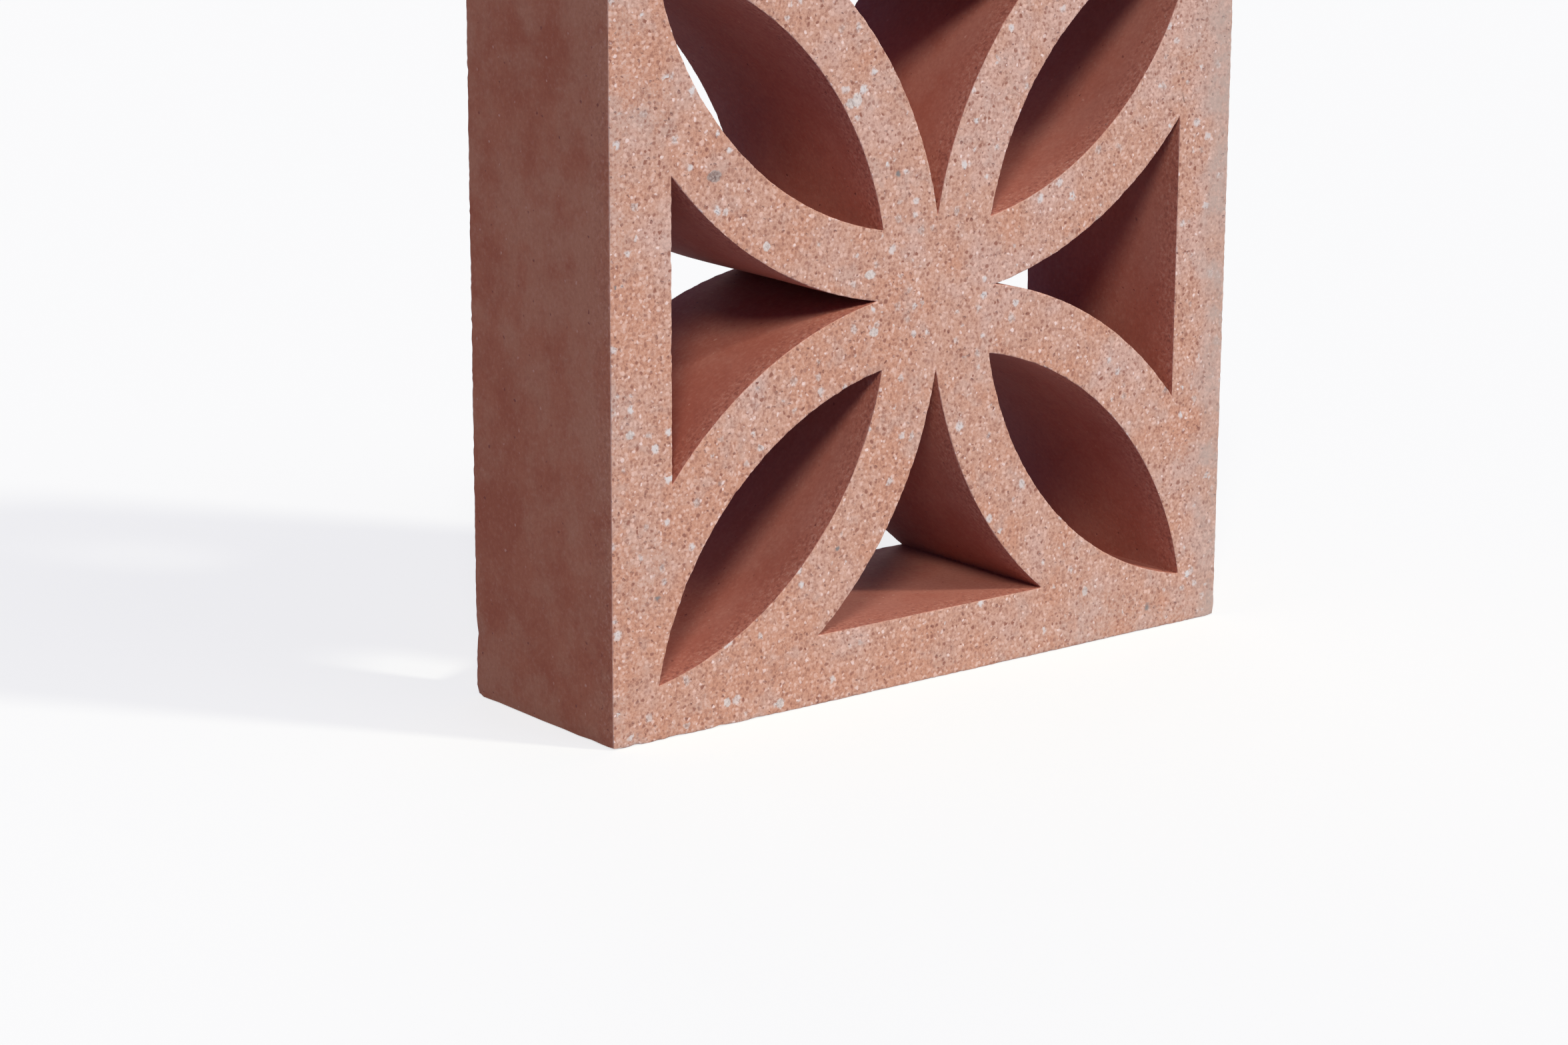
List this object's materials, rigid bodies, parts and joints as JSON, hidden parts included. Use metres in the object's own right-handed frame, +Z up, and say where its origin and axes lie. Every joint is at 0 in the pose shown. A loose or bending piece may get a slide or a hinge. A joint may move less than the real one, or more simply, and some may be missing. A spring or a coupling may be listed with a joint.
{
  "type": "breeze block",
  "caption": "Square pierced concrete screen block: crossing curved ribs leave petal openings on the diagonals and hollow-sided openings along the frame.",
  "frame": {"origin": "centre of the bottom face, midway between the front and back faces", "axes": "+X to the right along the face, +Y from the front face to the back face, +Z up; the ground front face looks along -Y"},
  "size_m": [0.305, 0.089, 0.305],
  "materials": {
    "concrete": "salmon pink and terracotta coloured cast concrete, its front face ground back to the fine aggregate, its other faces smooth off the mould"
  },
  "bodies": {
    "root": {"block": "concrete"}
  },
  "joints": []
}
